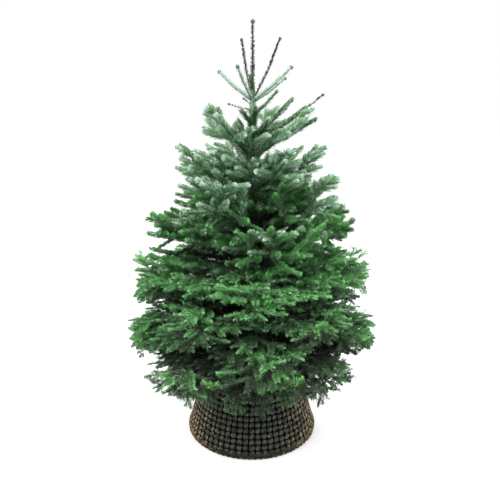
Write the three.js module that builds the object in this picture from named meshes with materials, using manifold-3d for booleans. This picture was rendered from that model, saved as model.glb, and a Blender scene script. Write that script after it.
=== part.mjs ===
// A young fir standing in a woven basket, in millimetres, +Z up.
// The origin is the centre of the basket's flat underside.
// The trunk runs up whole through nine tiers of fan-shaped foliage to a nearly bare leader.
// Boughs carry the fans of three lower tiers. The other fans spring from the trunk itself.
import * as THREE from "three";
import { mergeVertices } from "three/addons/utils/BufferGeometryUtils.js";
import Module from "manifold-3d";

const wasm = await Module();
wasm.setup();

// ---- Driving dimensions ---------------------------------------------------------------

const HEIGHT = 1800; // underside of the basket to the tip of the leader
const BASKET_HEIGHT = 280;
const BASKET_BASE_RADIUS = 300;
const BASKET_RIM_RADIUS = 224;
const BASKET_WALL = 16;
const BASKET_FLOOR = 12;
const WEAVE_ROWS = 11;
const WEAVE_STAKES = 64; // upright stakes round the basket, with a pillow of rope between two
const WEAVE_BULGE = 7; // how far a pillow of the weave stands out of the grooves round it
const BORDER_HEIGHT = 12; // the plaited edge at the foot and at the rim
const BORDER_BULGE = 4; // how far the plaited foot stands out
const FILL_LEVEL = 236; // surface of the potting fill
const BASKET_SEGMENTS = 32; // round its inside

const TRUNK_FOOT_RADIUS = 33;
const TRUNK_FLARE_HEIGHT = 80;
const TRUNK_RADIUS = 21; // just above the root flare
const LEADER_FOOT = 1480; // height of the top whorl, where the leader starts
const LEADER_FOOT_RADIUS = 6.5;
const LEADER_TIP_RADIUS = 3.2;
const BUD_RADIUS = 8;
const BUD_LENGTH = 22;
const LEAN = 3; // how far the leader's tip stands to +X of the foot
const TRUNK_SIDES = 10;
const FLARE_LOBES = 5;

const CLEARANCE = 0.3; // between two pieces that bear on each other
const SLIVER = 0.2; // faces that are thinner than this, where sprays and twigs meet, are merged
const SPACE_MARGIN = 5; // between the foliage and the edge of the space that it keeps to
const BOUGH_RADIUS = 9;
const STEM_RADIUS = 6;
const TWIG_RADIUS = 3.4;
const SIDE_ANGLE = 46; // degrees between a stem and its side twigs
const TWIG_LENGTHS = [0.62, 0.38]; // of the first and the last pair, as shares of the reach
const LAST_PAIR = 0.62; // where the last pair stands, as a share of the reach
const TWIG_SPRAY = 0.66; // share of a twig that its spray takes up
const SPRAY_SLENDERNESS = 0.24; // half width of a spray over its length
const SPRAY_THICKNESS = 5;
const STEM_SPRAY = 0.3; // length of the spray that ends a stem, as a share of the reach
const RISER_LENGTH = 110; // sprays that lean out over a fan or under it
const RISER_RISE = 30; // degrees
const RISER_SPREAD = 38; // degrees to either side
const OPEN_ABOVE = 120; // free room above the top tier
const OPEN_BELOW = 60; // and below the lowest
const CORE_FROM = 0.26; // where the dense middle of a fan starts and ends: shares of the reach
const CORE_TO = 0.8;
const CORE_FILL = 0.84; // share of the fan's space that its dense middle takes up

// The tiers of fans from the lowest up: where each leaves the trunk, how many fans it has and
// how far they reach, how steeply they leave and end, and where the first one points. Where
// from is not 0, a bough carries the fan out to that radius. A fan has pairs of side twigs,
// most have a few risers, and all but the open ones have a core.
const TIERS = [
  { height: 340, count: 5, reach: 420, rise: 14, tipRise: -10, turn: 54, from: 0, pairs: 1, risers: 2 },
  { height: 440, count: 5, reach: 575, rise: 6, tipRise: -14, turn: 18, from: 190, pairs: 2, risers: 4 },
  { height: 525, count: 5, reach: 565, rise: 6, tipRise: -11, turn: 54, from: 180, pairs: 2, risers: 4 },
  { height: 615, count: 5, reach: 545, rise: 8, tipRise: -3, turn: 22, from: 170, pairs: 2, risers: 4 },
  { height: 715, count: 5, reach: 530, rise: 10, tipRise: 4, turn: 58, from: 0, pairs: 2, risers: 3 },
  { height: 820, count: 4, reach: 462, rise: 18, tipRise: 12, turn: 13, from: 0, pairs: 2, risers: 1 },
  { height: 940, count: 4, reach: 402, rise: 24, tipRise: 22, turn: 58, from: 0, pairs: 2, risers: 0 },
  { height: 1085, count: 4, reach: 335, rise: 28, tipRise: 30, turn: 18, from: 0, pairs: 1, risers: 2 },
  {
    ...{ height: 1250, count: 4, reach: 275, rise: 30, tipRise: 38, turn: 63, from: 0, pairs: 1, risers: 2 },
    open: true,
  },
];
const TURN_SCATTER = 5; // degrees
const REACH_SCATTER = 0.05; // share of the reach
const SEED = 4127;

// The shoots of the top whorl, round the foot of the leader.
const TOP_SHOOTS = [
  { turn: 120, length: 250, rise: 70 },
  { turn: 20, length: 262, rise: 66 },
  { turn: 195, length: 182, rise: 40 },
  { turn: 245, length: 190, rise: 43 },
  { turn: -35, length: 225, rise: 35 },
  { turn: 40, length: 195, rise: 30 },
];

// ---- Materials ------------------------------------------------------------------------

const finish = (color, roughness) => new THREE.MeshStandardMaterial({ color, roughness, metalness: 0 });
const BARK = finish(0x4a4038, 0.85);
const NEEDLES = finish(0x2f6b38, 0.55);
const LOWER_NEEDLES = finish(0x255a30, 0.55);
const UPPER_NEEDLES = finish(0x5f8a64, 0.55);
const WICKER = finish(0x5f5848, 0.7);
const SOIL = finish(0x2b2119, 0.95);

// ---- Small tools ----------------------------------------------------------------------

const UP = new THREE.Vector3(0, 0, 1);
const radians = THREE.MathUtils.degToRad;
const mix = THREE.MathUtils.lerp;

// A repeatable stream of numbers from 0 to 1.
function numbersFrom(seed) {
  let state = seed % 2147483647;
  return () => {
    state = (state * 48271) % 2147483647;
    return state / 2147483647;
  };
}

// A point at a radius, a bearing in radians and a height.
const polar = (radius, bearing, height) =>
  new THREE.Vector3(radius * Math.cos(bearing), radius * Math.sin(bearing), height);

function solidOf(geometry) {
  const bare = geometry.clone();
  bare.deleteAttribute("normal");
  bare.deleteAttribute("uv");
  const merged = mergeVertices(bare, 1e-3);
  return new wasm.Manifold(
    new wasm.Mesh({
      numProp: 3,
      vertProperties: merged.attributes.position.array,
      triVerts: new Uint32Array(merged.index.array),
    }),
  );
}

function geometryOf(solid) {
  const mesh = solid.getMesh();
  return new THREE.BufferGeometry()
    .setAttribute("position", new THREE.BufferAttribute(new Float32Array(mesh.vertProperties), 3))
    .setIndex(new THREE.BufferAttribute(new Uint32Array(mesh.triVerts), 1));
}

// The largest body of a solid, without the loose scraps that a cut can leave.
function largestBody(solid) {
  return solid.decompose().reduce((best, body) => (body.volume() > best.volume() ? body : best));
}

// Moves each vertex of a geometry to where place(x, y, z) says.
function reshaped(geometry, place) {
  const at = geometry.attributes.position;
  for (let i = 0; i < at.count; i++) {
    const moved = place(at.getX(i), at.getY(i), at.getZ(i));
    at.setXYZ(i, moved.x, moved.y, moved.z);
  }
  return geometry;
}

// A limb: a round section swept along a curve, with a radius that changes on the way.
function limb(pointAt, radiusAt, sides, steps) {
  const step = 1e-3;
  const ring = (along, across, lift) => {
    const tangent = pointAt(Math.min(1, along + step)).sub(pointAt(Math.max(0, along - step))).normalize();
    const side = new THREE.Vector3().crossVectors(tangent, UP);
    if (side.length() < 0.2) side.set(1, 0, 0).addScaledVector(tangent, -tangent.x);
    side.normalize();
    const normal = new THREE.Vector3().crossVectors(side, tangent);
    const radius = radiusAt(along, Math.atan2(lift, across));
    return pointAt(along).addScaledVector(side, across * radius).addScaledVector(normal, lift * radius);
  };
  const straight = new THREE.CylinderGeometry(1, 1, 1, sides, steps);
  return reshaped(straight, (x, y, z) => ring(y + 0.5, x, z));
}

// ---- Trunk ----------------------------------------------------------------------------

const TRUNK_FOOT = FILL_LEVEL + CLEARANCE;

function trunkRadius(height) {
  const flare = Math.max(0, 1 - (height - TRUNK_FOOT) / TRUNK_FLARE_HEIGHT);
  const foot = (TRUNK_FOOT_RADIUS - TRUNK_RADIUS) * flare * flare;
  if (height <= LEADER_FOOT) {
    const along = (height - TRUNK_FOOT) / (LEADER_FOOT - TRUNK_FOOT);
    return foot + mix(TRUNK_RADIUS, LEADER_FOOT_RADIUS, along);
  }
  const along = Math.min(1, (height - LEADER_FOOT) / (HEIGHT - BUD_LENGTH - LEADER_FOOT));
  return mix(LEADER_FOOT_RADIUS, LEADER_TIP_RADIUS, along);
}

const trunkPoint = (height) =>
  new THREE.Vector3((LEAN * (height - TRUNK_FOOT)) / (HEIGHT - TRUNK_FOOT), 0, height);

// The trunk with a skin of extra thickness. A skin is only ever used to cut with.
function trunkSolid(skin) {
  const steps = 12;
  const top = HEIGHT - BUD_LENGTH / 2;
  // Rings stand closer together at the foot, where the radius changes fastest.
  const heightAt = (along) => mix(TRUNK_FOOT - skin, top, along ** 1.7);
  const radiusAt = (along, angle) => {
    const height = heightAt(along);
    const flare = Math.max(0, 1 - (height - TRUNK_FOOT) / TRUNK_FLARE_HEIGHT);
    return trunkRadius(height) * (1 + 0.1 * flare * Math.cos(FLARE_LOBES * angle)) + skin;
  };
  const stem = solidOf(limb((along) => trunkPoint(heightAt(along)), radiusAt, TRUNK_SIDES, steps));
  return stem.add(budSolid(trunkPoint(HEIGHT - BUD_LENGTH / 2), UP, BUD_LENGTH, BUD_RADIUS + skin));
}

// A knot of winter buds at the end of a shoot.
function budSolid(centre, along, length, radius) {
  const turn = new THREE.Quaternion().setFromUnitVectors(UP, along);
  const bud = new THREE.SphereGeometry(1, 5, 2).rotateX(Math.PI / 2);
  return solidOf(
    reshaped(bud, (x, y, z) =>
      new THREE.Vector3(x * radius, y * radius, (z * length) / 2).applyQuaternion(turn).add(centre),
    ),
  );
}

const trunkCutter = trunkSolid(CLEARANCE + 0.1);

// ---- Space of a fan -------------------------------------------------------------------

const slope = (degrees) => Math.tan(radians(degrees));

// The height of a tier's middle surface at a radius. Past its reach it runs on straight.
function tierHeight(tier, radius) {
  const inside = Math.min(radius, tier.reach);
  const bend = (slope(tier.tipRise) - slope(tier.rise)) / (2 * tier.reach);
  const beyond = Math.max(0, radius - tier.reach) * slope(tier.tipRise);
  return tier.height + slope(tier.rise) * inside + bend * inside * inside + beyond;
}

// The space of one fan: its sector of the tier, midway up and down to the tiers beside it.
function spaceOf(level, sector) {
  const tier = TIERS[level];
  const halfSector = Math.PI / tier.count;
  const towards = (other, free) => (radius) => {
    const middle = tierHeight(tier, radius);
    return other ? (middle + tierHeight(other, radius)) / 2 : middle + free;
  };
  const ceiling = towards(TIERS[level + 1], OPEN_ABOVE);
  const floor = towards(TIERS[level - 1], -OPEN_BELOW);
  const holds = (point) => {
    const radius = Math.hypot(point.x, point.y);
    const turn = Math.atan2(point.y, point.x) - sector;
    const off = Math.abs(Math.atan2(Math.sin(turn), Math.cos(turn)));
    const sideRoom = radius * Math.sin(Math.max(0, halfSector - off));
    const clearOfTrunk = radius > trunkRadius(point.z) + 2 * SPACE_MARGIN;
    const clearOfBasket = radius > BASKET_BASE_RADIUS || point.z > BASKET_HEIGHT + 3 * SPACE_MARGIN;
    return (
      radius < tier.reach &&
      sideRoom > SPACE_MARGIN &&
      clearOfTrunk &&
      clearOfBasket &&
      point.z < ceiling(radius) - SPACE_MARGIN &&
      point.z > floor(radius) + SPACE_MARGIN
    );
  };
  return { holds, ceiling, floor, halfSector };
}

// ---- Sprays, twigs and fans -----------------------------------------------------------

// The outline of a spray from foot to tip: shares of its length and of its half width.
const MAIN_SPRAY = [[0, 0], [0.2, -0.8], [0.36, -0.45], [0.52, -1], [0.68, -0.42], [1, 0]];
const SMALL_SPRAY = [[0, 0], [0.45, -1], [0.62, -0.5], [1, 0]];

// A spray of needles: a toothed blade, thickest along its rib. It is a sphere of two rows
// of faces, whose equator is drawn out into the toothed outline.
function spray(base, along, length, corners) {
  const side = new THREE.Vector3().crossVectors(UP, along).normalize();
  const lift = new THREE.Vector3().crossVectors(along, side);
  const halfWidth = SPRAY_SLENDERNESS * length;
  const outline = [...corners, ...corners.slice(1, -1).reverse().map(([u, v]) => [u, -v])];
  const blade = new THREE.SphereGeometry(1, outline.length, 2).rotateX(-Math.PI / 2);
  return solidOf(
    reshaped(blade, (x, y, z) => {
      const pole = Math.abs(z) > 0.5;
      const corner = Math.round((Math.atan2(y, x) / (2 * Math.PI)) * outline.length);
      const [u, v] = pole ? [0.5, 0] : outline[(corner + outline.length) % outline.length];
      return base
        .clone()
        .addScaledVector(along, u * length)
        .addScaledVector(side, v * halfWidth)
        .addScaledVector(lift, pole ? Math.sign(z) * SPRAY_THICKNESS : 0);
    }),
  );
}

// Whether a spray's tip and its two widest teeth lie within a space.
function sprayFits(holds, base, along, length) {
  const side = new THREE.Vector3().crossVectors(UP, along).normalize();
  const point = (u, v) =>
    base.clone().addScaledVector(along, u * length).addScaledVector(side, v * SPRAY_SLENDERNESS * length);
  return [point(1, 0), point(0.5, 1), point(0.5, -1), point(0.2, 0.8), point(0.2, -0.8)].every(holds);
}

const straightLimb = (from, to, radiusFrom, radiusTo, sides) =>
  solidOf(limb((t) => from.clone().lerp(to, t), (t) => mix(radiusFrom, radiusTo, t), sides, 1));

// The direction beside a heading, turned by an angle within the fan and tilted out of it.
function beside(heading, turn, tilt) {
  const side = new THREE.Vector3().crossVectors(UP, heading).normalize();
  const normal = new THREE.Vector3().crossVectors(heading, side);
  return heading
    .clone()
    .multiplyScalar(Math.cos(turn) * Math.cos(tilt))
    .addScaledVector(side, Math.sin(turn) * Math.cos(tilt))
    .addScaledVector(normal, Math.sin(tilt))
    .normalize();
}

// Where a fan of a tier stands, and the stream of numbers that its twigs are drawn with.
function fanPlan(level, index) {
  const tier = TIERS[level];
  const draw = numbersFrom(SEED + 97 * level + 13 * index);
  draw();
  const sector = radians(tier.turn + (360 * index) / tier.count);
  const bearing = sector + radians(TURN_SCATTER * (2 * draw() - 1));
  const reach = tier.reach * (1 - REACH_SCATTER * draw());
  const point = (radius) => polar(radius, bearing, tierHeight(tier, radius));
  const headingAt = (radius) => point(radius + 5).sub(point(radius - 5)).normalize();
  return { tier, draw, sector, bearing, reach, from: tier.from, point, headingAt };
}

// The rule of a fan: pairs of side twigs leave the stem, and each twig ends in a spray.
// Each gives its root, its direction and its whole length with the spray.
function fanTwigs({ tier, draw, reach, from, point, headingAt }) {
  const twigs = [];
  for (let pair = 0; pair < tier.pairs; pair++) {
    const share = tier.pairs > 1 ? pair / (tier.pairs - 1) : 0.3;
    const radius = mix(mix(from, reach, 0.2), LAST_PAIR * reach, share);
    for (const sign of [-1, 1]) {
      const turn = sign * radians(SIDE_ANGLE - 6 * share + 10 * (draw() - 0.5));
      const tilt = radians(12 * (draw() - 0.4));
      const length = (mix(...TWIG_LENGTHS, share) + 0.08 * draw()) * reach;
      twigs.push({ root: point(radius), along: beside(headingAt(radius), turn, tilt), length });
    }
  }
  return twigs;
}

// The dense middle of a fan, which its twigs and sprays stand out of. It fills a share of
// the space's height and sector, and is blunt at its rim.
function fanCore({ tier, sector, reach, from }, { ceiling, floor, halfSector }) {
  const inner = Math.max(from + 20, CORE_FROM * reach);
  const outer = CORE_TO * reach;
  const body = new THREE.SphereGeometry(1, 8, 3).rotateX(Math.PI / 2);
  return solidOf(
    reshaped(body, (x, y, z) => {
      const radius = mix(inner, outer, (x + 1) / 2);
      const middle = tierHeight(tier, radius);
      const room = z > 0 ? ceiling(radius) - middle : middle - floor(radius);
      return polar(radius, sector + y * CORE_FILL * halfSector, middle + z * CORE_FILL * room);
    }),
  );
}

// A side twig and its spray, shortened until they lie within the space. It is left out
// where even less than half of its length won't fit.
function twigSolids(holds, { root, along, length }) {
  for (let whole = length; whole > 0.4 * length; whole -= 0.08 * length) {
    const at = (share) => root.clone().addScaledVector(along, share * whole);
    const foot = at(1 - TWIG_SPRAY);
    const twigHolds = [0.1, 0.2, 1 - TWIG_SPRAY].every((share) => holds(at(share)));
    if (!twigHolds || !sprayFits(holds, foot, along, TWIG_SPRAY * whole)) continue;
    const end = at(1 - 0.88 * TWIG_SPRAY);
    const twig = straightLimb(root, end, TWIG_RADIUS, 0.5 * TWIG_RADIUS, 3);
    return [twig, spray(foot, along, TWIG_SPRAY * whole, MAIN_SPRAY)];
  }
  return [];
}

function fanSolid(level, index) {
  const plan = fanPlan(level, index);
  const { tier, draw, sector, from, reach, point, headingAt } = plan;
  const space = spaceOf(level, sector);
  const endSpray = STEM_SPRAY * reach;
  const stemStart = from ? from + CLEARANCE : 0;
  const stemEnd = reach - 0.9 * endSpray;
  const stemRadius = from ? STEM_RADIUS : Math.min(STEM_RADIUS + 1.5, 0.5 * trunkRadius(tier.height));
  const stemPoint = (t) => point(mix(stemStart, stemEnd, t));
  const pieces = [
    solidOf(limb(stemPoint, (t) => mix(stemRadius, TWIG_RADIUS, t), 4, 3)),
    spray(point(reach - endSpray), headingAt(stemEnd), endSpray, MAIN_SPRAY),
  ];
  if (!tier.open) pieces.push(fanCore(plan, space));
  for (const twig of fanTwigs(plan)) pieces.push(...twigSolids(space.holds, twig));
  // Risers lean out over the fan and under it by turns.
  for (let riser = 0; riser < tier.risers; riser++) {
    const inner = from + 60;
    const root = point(mix(inner, 0.74 * reach, (riser + 0.5) / tier.risers));
    const turn = radians(((riser % 3) - 1) * RISER_SPREAD + 16 * (draw() - 0.5));
    const along = beside(headingAt(inner), turn, radians(riser % 2 ? -RISER_RISE : RISER_RISE));
    const length = RISER_LENGTH * (1 + 0.4 * draw());
    if (sprayFits(space.holds, root, along, length)) pieces.push(spray(root, along, length, SMALL_SPRAY));
  }
  const whole = pieces.reduce((made, piece) => made.add(piece));
  return largestBody(from ? whole : whole.subtract(trunkCutter)).simplify(SLIVER);
}

function boughSolid(level, index) {
  const { from, point } = fanPlan(level, index);
  const radiusAt = (t) => mix(BOUGH_RADIUS, STEM_RADIUS, t);
  return largestBody(solidOf(limb((t) => point(from * t), radiusAt, 6, 2)).subtract(trunkCutter));
}

// ---- Top whorl ------------------------------------------------------------------------

const SHOOT_RADII = [4.6, 2.6]; // at its foot and its tip
const NEEDLE_LENGTH = 25;

// One shoot of the top whorl, with a knot of buds at its tip and two needles on its length.
function shootSolid(centre, { turn, length, rise }) {
  const along = polar(Math.cos(radians(rise)), radians(turn), Math.sin(radians(rise)));
  const at = (distance) => centre.clone().addScaledVector(along, distance);
  const pieces = [
    straightLimb(centre, at(length), ...SHOOT_RADII, 3),
    budSolid(at(length - 0.35 * BUD_LENGTH), along, 0.7 * BUD_LENGTH, 0.8 * BUD_RADIUS),
  ];
  for (const share of [0.3, 0.6]) {
    const outward = beside(along, radians(share * 400), 0).cross(along).normalize();
    const lean = along.clone().multiplyScalar(0.86).addScaledVector(outward, 0.5);
    const root = at(share * length);
    const tip = root.clone().addScaledVector(lean, NEEDLE_LENGTH);
    pieces.push(straightLimb(root, tip, 2, 0.7, 3));
  }
  return pieces.reduce((made, piece) => made.add(piece));
}

// A ring of shoots round the foot of the leader, on the swollen joint that they grow from.
function topWhorlSolid() {
  const centre = trunkPoint(LEADER_FOOT);
  const low = trunkPoint(LEADER_FOOT - 16);
  const high = trunkPoint(LEADER_FOOT + 16);
  const joint = straightLimb(low, high, LEADER_FOOT_RADIUS + 5, LEADER_FOOT_RADIUS + 4, 8);
  const whole = TOP_SHOOTS.reduce((made, shoot) => made.add(shootSolid(centre, shoot)), joint);
  return largestBody(whole.subtract(trunkCutter)).simplify(SLIVER);
}

// ---- Basket and fill ------------------------------------------------------------------

const outerRadius = (height) =>
  mix(BASKET_BASE_RADIUS, BASKET_RIM_RADIUS, height / BASKET_HEIGHT) - WEAVE_BULGE;
const innerRadius = (height) => outerRadius(height) - BASKET_WALL;

const lathe = (profile) =>
  new THREE.LatheGeometry(
    profile.map(([radius, height]) => new THREE.Vector2(radius, height)),
    BASKET_SEGMENTS,
  ).rotateX(Math.PI / 2);

// The outside of the wall flares down to a wide flat foot. Between two stakes each row of the
// weave swells out into a pillow of four faces. A plain edge runs round the foot and the rim.
function wovenBody() {
  const rowHeight = (BASKET_HEIGHT - 2 * BORDER_HEIGHT) / WEAVE_ROWS;
  const heights = [0, BORDER_HEIGHT, BASKET_HEIGHT];
  for (let row = 1; row <= WEAVE_ROWS; row++) heights.splice(-1, 0, BORDER_HEIGHT + row * rowHeight);
  const points = [polar(0, 0, 0), polar(0, 0, BASKET_HEIGHT)];
  const faces = [];
  const bearing = (stake) => (2 * Math.PI * stake) / WEAVE_STAKES;
  const corner = (ring, stake) => 2 + ring * WEAVE_STAKES + (stake % WEAVE_STAKES);
  heights.forEach((height, ring) => {
    const radius = outerRadius(height) + (ring === 0 ? BORDER_BULGE : 0);
    for (let stake = 0; stake < WEAVE_STAKES; stake++) {
      points.push(polar(radius, bearing(stake - 0.5), height));
    }
  });
  const top = heights.length - 1;
  for (let stake = 0; stake < WEAVE_STAKES; stake++) {
    faces.push([0, corner(0, stake + 1), corner(0, stake)], [1, corner(top, stake), corner(top, stake + 1)]);
    for (let ring = 0; ring < top; ring++) {
      const low = [corner(ring, stake), corner(ring, stake + 1)];
      const high = [corner(ring + 1, stake + 1), corner(ring + 1, stake)];
      if (ring === 0 || ring === top - 1) {
        faces.push([...low, high[0]], [low[0], ...high]);
        continue;
      }
      const middle = (heights[ring] + heights[ring + 1]) / 2;
      const peak = points.push(polar(outerRadius(middle) + WEAVE_BULGE, bearing(stake), middle)) - 1;
      faces.push([...low, peak], [low[1], high[0], peak], [...high, peak], [high[1], low[0], peak]);
    }
  }
  const positions = new Float32Array(points.flatMap((point) => point.toArray()));
  return new wasm.Manifold(
    new wasm.Mesh({ numProp: 3, vertProperties: positions, triVerts: new Uint32Array(faces.flat()) }),
  );
}

function basketSolid() {
  const inside = lathe([
    [0, BASKET_FLOOR],
    [innerRadius(BASKET_FLOOR), BASKET_FLOOR],
    [innerRadius(FILL_LEVEL), FILL_LEVEL],
    [innerRadius(BASKET_HEIGHT) + BASKET_WALL / 6, BASKET_HEIGHT + 1],
    [0, BASKET_HEIGHT + 1],
  ]);
  return wovenBody().subtract(solidOf(inside));
}

function fillGeometry() {
  const low = BASKET_FLOOR + CLEARANCE;
  return lathe([
    [0, low],
    [innerRadius(low) - 2 * CLEARANCE, low],
    [innerRadius(FILL_LEVEL) - 2 * CLEARANCE, FILL_LEVEL],
    [0, FILL_LEVEL],
  ]);
}

// ---- The whole tree -------------------------------------------------------------------

const tree = new THREE.Group();

function place(name, geometry, material) {
  const mesh = new THREE.Mesh(geometry, material);
  mesh.name = name;
  tree.add(mesh);
}

place("basket", geometryOf(basketSolid()), WICKER);
place("potting_fill", fillGeometry(), SOIL);
place("trunk", geometryOf(trunkSolid(0)), BARK);
TIERS.forEach((tier, level) => {
  const needles = [LOWER_NEEDLES, NEEDLES, UPPER_NEEDLES][Math.floor((3 * level) / TIERS.length)];
  for (let index = 0; index < tier.count; index++) {
    const spot = `${level + 1}_${index + 1}`;
    if (tier.from) place(`bough_${spot}`, geometryOf(boughSolid(level, index)), BARK);
    place(`foliage_${spot}`, geometryOf(fanSolid(level, index)), needles);
  }
});
place("top_whorl", geometryOf(topWhorlSolid()), UPPER_NEEDLES);

export default tree;
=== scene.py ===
# A young fir in a woven basket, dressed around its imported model. Metres, +Z up.
from math import atan2, cos, exp, hypot, pi, radians, sin, tan

import bpy
import numpy as np
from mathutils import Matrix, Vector, noise


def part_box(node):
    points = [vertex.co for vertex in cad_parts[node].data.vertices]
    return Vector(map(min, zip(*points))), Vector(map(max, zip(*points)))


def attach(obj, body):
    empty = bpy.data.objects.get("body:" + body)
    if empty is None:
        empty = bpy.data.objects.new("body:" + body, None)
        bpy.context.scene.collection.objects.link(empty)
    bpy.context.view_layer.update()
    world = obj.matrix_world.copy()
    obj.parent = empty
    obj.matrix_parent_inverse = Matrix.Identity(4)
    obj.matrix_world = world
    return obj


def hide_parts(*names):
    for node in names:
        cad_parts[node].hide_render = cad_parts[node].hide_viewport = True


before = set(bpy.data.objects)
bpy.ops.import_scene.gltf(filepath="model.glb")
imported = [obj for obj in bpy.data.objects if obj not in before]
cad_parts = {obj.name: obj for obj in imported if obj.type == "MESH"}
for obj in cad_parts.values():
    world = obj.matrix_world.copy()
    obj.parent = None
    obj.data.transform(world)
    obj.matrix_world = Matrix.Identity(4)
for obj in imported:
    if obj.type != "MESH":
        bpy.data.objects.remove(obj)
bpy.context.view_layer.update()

# ---- Camera, floor and light ----------------------------------------------------------
# The camera stands in front of the tree and looks a little down on it. A big soft lamp
# hangs over its left shoulder, weaker ones stand on the other sides, and all is pale around.
CAMERA_PLACE = (-0.008, -2.30, 1.44)
CAMERA_DOWN = 13.4  # degrees
CAMERA_LENS, CAMERA_SENSOR = 38.75, 36  # millimetres
LAMPS = [
    # name, place, size, power
    ("key", (-1.6, -2.6, 3.6), 1.6, 120),
    ("fill", (2.6, -2.4, 2.2), 2.0, 30),
    ("left", (-3.0, 0.1, 1.7), 1.6, 48),
    ("right", (3.0, 0.1, 1.7), 1.6, 48),
    ("back", (0.6, 2.6, 3.2), 2.0, 110),
]
LAMP_TARGET = Vector((0, 0, 0.8))
WHITE = (1, 1, 1, 1)
SKY_SEEN = 1.0
SKY_LOW, SKY_RISE = 0.40, 1.30  # light from the horizon, and what is added up to the zenith
FLOOR_HALF = 30
FLOOR_WHITE = (0.93, 0.93, 0.93, 1)


def placed(name, data):
    """A new object, in the scene."""
    thing = bpy.data.objects.new(name, data)
    bpy.context.scene.collection.objects.link(thing)
    return thing


camera = placed("camera", bpy.data.cameras.new("camera"))
camera.location = CAMERA_PLACE
camera.rotation_euler = (radians(90 - CAMERA_DOWN), 0, 0)
camera.data.lens = CAMERA_LENS
camera.data.sensor_width = CAMERA_SENSOR
bpy.context.scene.camera = camera

for name, place, size, power in LAMPS:
    light = bpy.data.lights.new(name, "AREA")
    light.size = size
    light.energy = power
    lamp = placed(name, light)
    lamp.location = place
    lamp.rotation_euler = (LAMP_TARGET - Vector(place)).to_track_quat("-Z", "Y").to_euler()


class Value:
    """What a node gives. Sums and products of values add their Math nodes."""

    def __init__(self, graph, socket):
        self.graph = graph
        self.socket = socket

    def maths(self, operation, other=0.0):
        return self.graph.maths(operation, self, other)

    def __add__(self, other):
        return self.maths("ADD", other)

    def __sub__(self, other):
        return self.maths("SUBTRACT", other)

    def __rsub__(self, other):
        return self.graph.maths("SUBTRACT", other, self)

    def __mul__(self, other):
        return self.maths("MULTIPLY", other)

    def __pow__(self, other):
        return self.maths("POWER", other)

    def __lt__(self, other):
        return self.maths("LESS_THAN", other)

    def __gt__(self, other):
        return self.maths("GREATER_THAN", other)

    __radd__ = __add__
    __rmul__ = __mul__


class Made:
    """A node that was made. Its outputs are read by name or number."""

    def __init__(self, graph, node):
        self.graph = graph
        self.node = node

    def __getitem__(self, key):
        return Value(self.graph, self.node.outputs[key])


class Graph:
    """A node tree being made, of a material, the sky or a Geometry Nodes modifier."""

    def __init__(self, tree):
        self.tree = tree

    def feed(self, node, sockets):
        """Gives a node's sockets plain values, or links from other nodes."""
        for key, value in sockets.items():
            if isinstance(value, Value):
                self.tree.links.new(value.socket, node.inputs[key])
            else:
                node.inputs[key].default_value = value

    def node(self, kind, settings=None, sockets=None):
        made = self.tree.nodes.new(kind)
        for key, setting in (settings or {}).items():
            if key == "stops":
                self.set_stops(made.color_ramp.elements, setting)
            else:
                setattr(made, key, setting)
        self.feed(made, sockets or {})
        return Made(self, made)

    def set_stops(self, elements, stops):
        while len(elements) < len(stops):
            elements.new(0.5)
        for element, (place, tint) in zip(elements, stops):
            element.position = place
            element.color = tint

    def maths(self, operation, first, second):
        return self.node("ShaderNodeMath", {"operation": operation}, {0: first, 1: second})[0]

    def vector(self, operation, first, second=(0, 0, 0), scale=1.0):
        sockets = {0: first, "Scale": scale} if operation == "SCALE" else {0: first, 1: second}
        return self.node("ShaderNodeVectorMath", {"operation": operation}, sockets)[0]

    def parts(self, vector):
        return self.node("ShaderNodeSeparateXYZ", {}, {0: vector})

    def joined(self, x, y=0.0, z=0.0):
        return self.node("ShaderNodeCombineXYZ", {}, {0: x, 1: y, 2: z})[0]

    def mixed(self, factor, first, second):
        """Two colours, mixed."""
        settings = {"data_type": "RGBA"}
        return self.node("ShaderNodeMix", settings, {0: factor, 6: first, 7: second})[2]


def colour(red, green, blue):
    """A colour given as 0 to 255 on screen, as the linear colour that a shader takes."""
    shares = [part / 255 for part in (red, green, blue)]
    return (*[s / 12.92 if s <= 0.04045 else ((s + 0.055) / 1.055) ** 2.4 for s in shares], 1)


sky = bpy.data.worlds.new("sky")
sky.use_nodes = True
sky.node_tree.nodes.clear()
sky_graph = Graph(sky.node_tree)
sky_height = sky_graph.parts(sky_graph.node("ShaderNodeTexCoord")["Generated"])["Z"]
strengths = (SKY_LOW + SKY_RISE * sky_height.maths("MAXIMUM"), SKY_SEEN)
skies = [sky_graph.node("ShaderNodeBackground", {}, {"Color": WHITE, "Strength": s})[0] for s in strengths]
sockets = {0: sky_graph.node("ShaderNodeLightPath")["Is Camera Ray"], 1: skies[0], 2: skies[1]}
seen_sky = sky_graph.node("ShaderNodeMixShader", {}, sockets)[0]
sky_graph.node("ShaderNodeOutputWorld", {}, {"Surface": seen_sky})
bpy.context.scene.world = sky
bpy.context.scene.view_settings.view_transform = "Standard"


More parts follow.
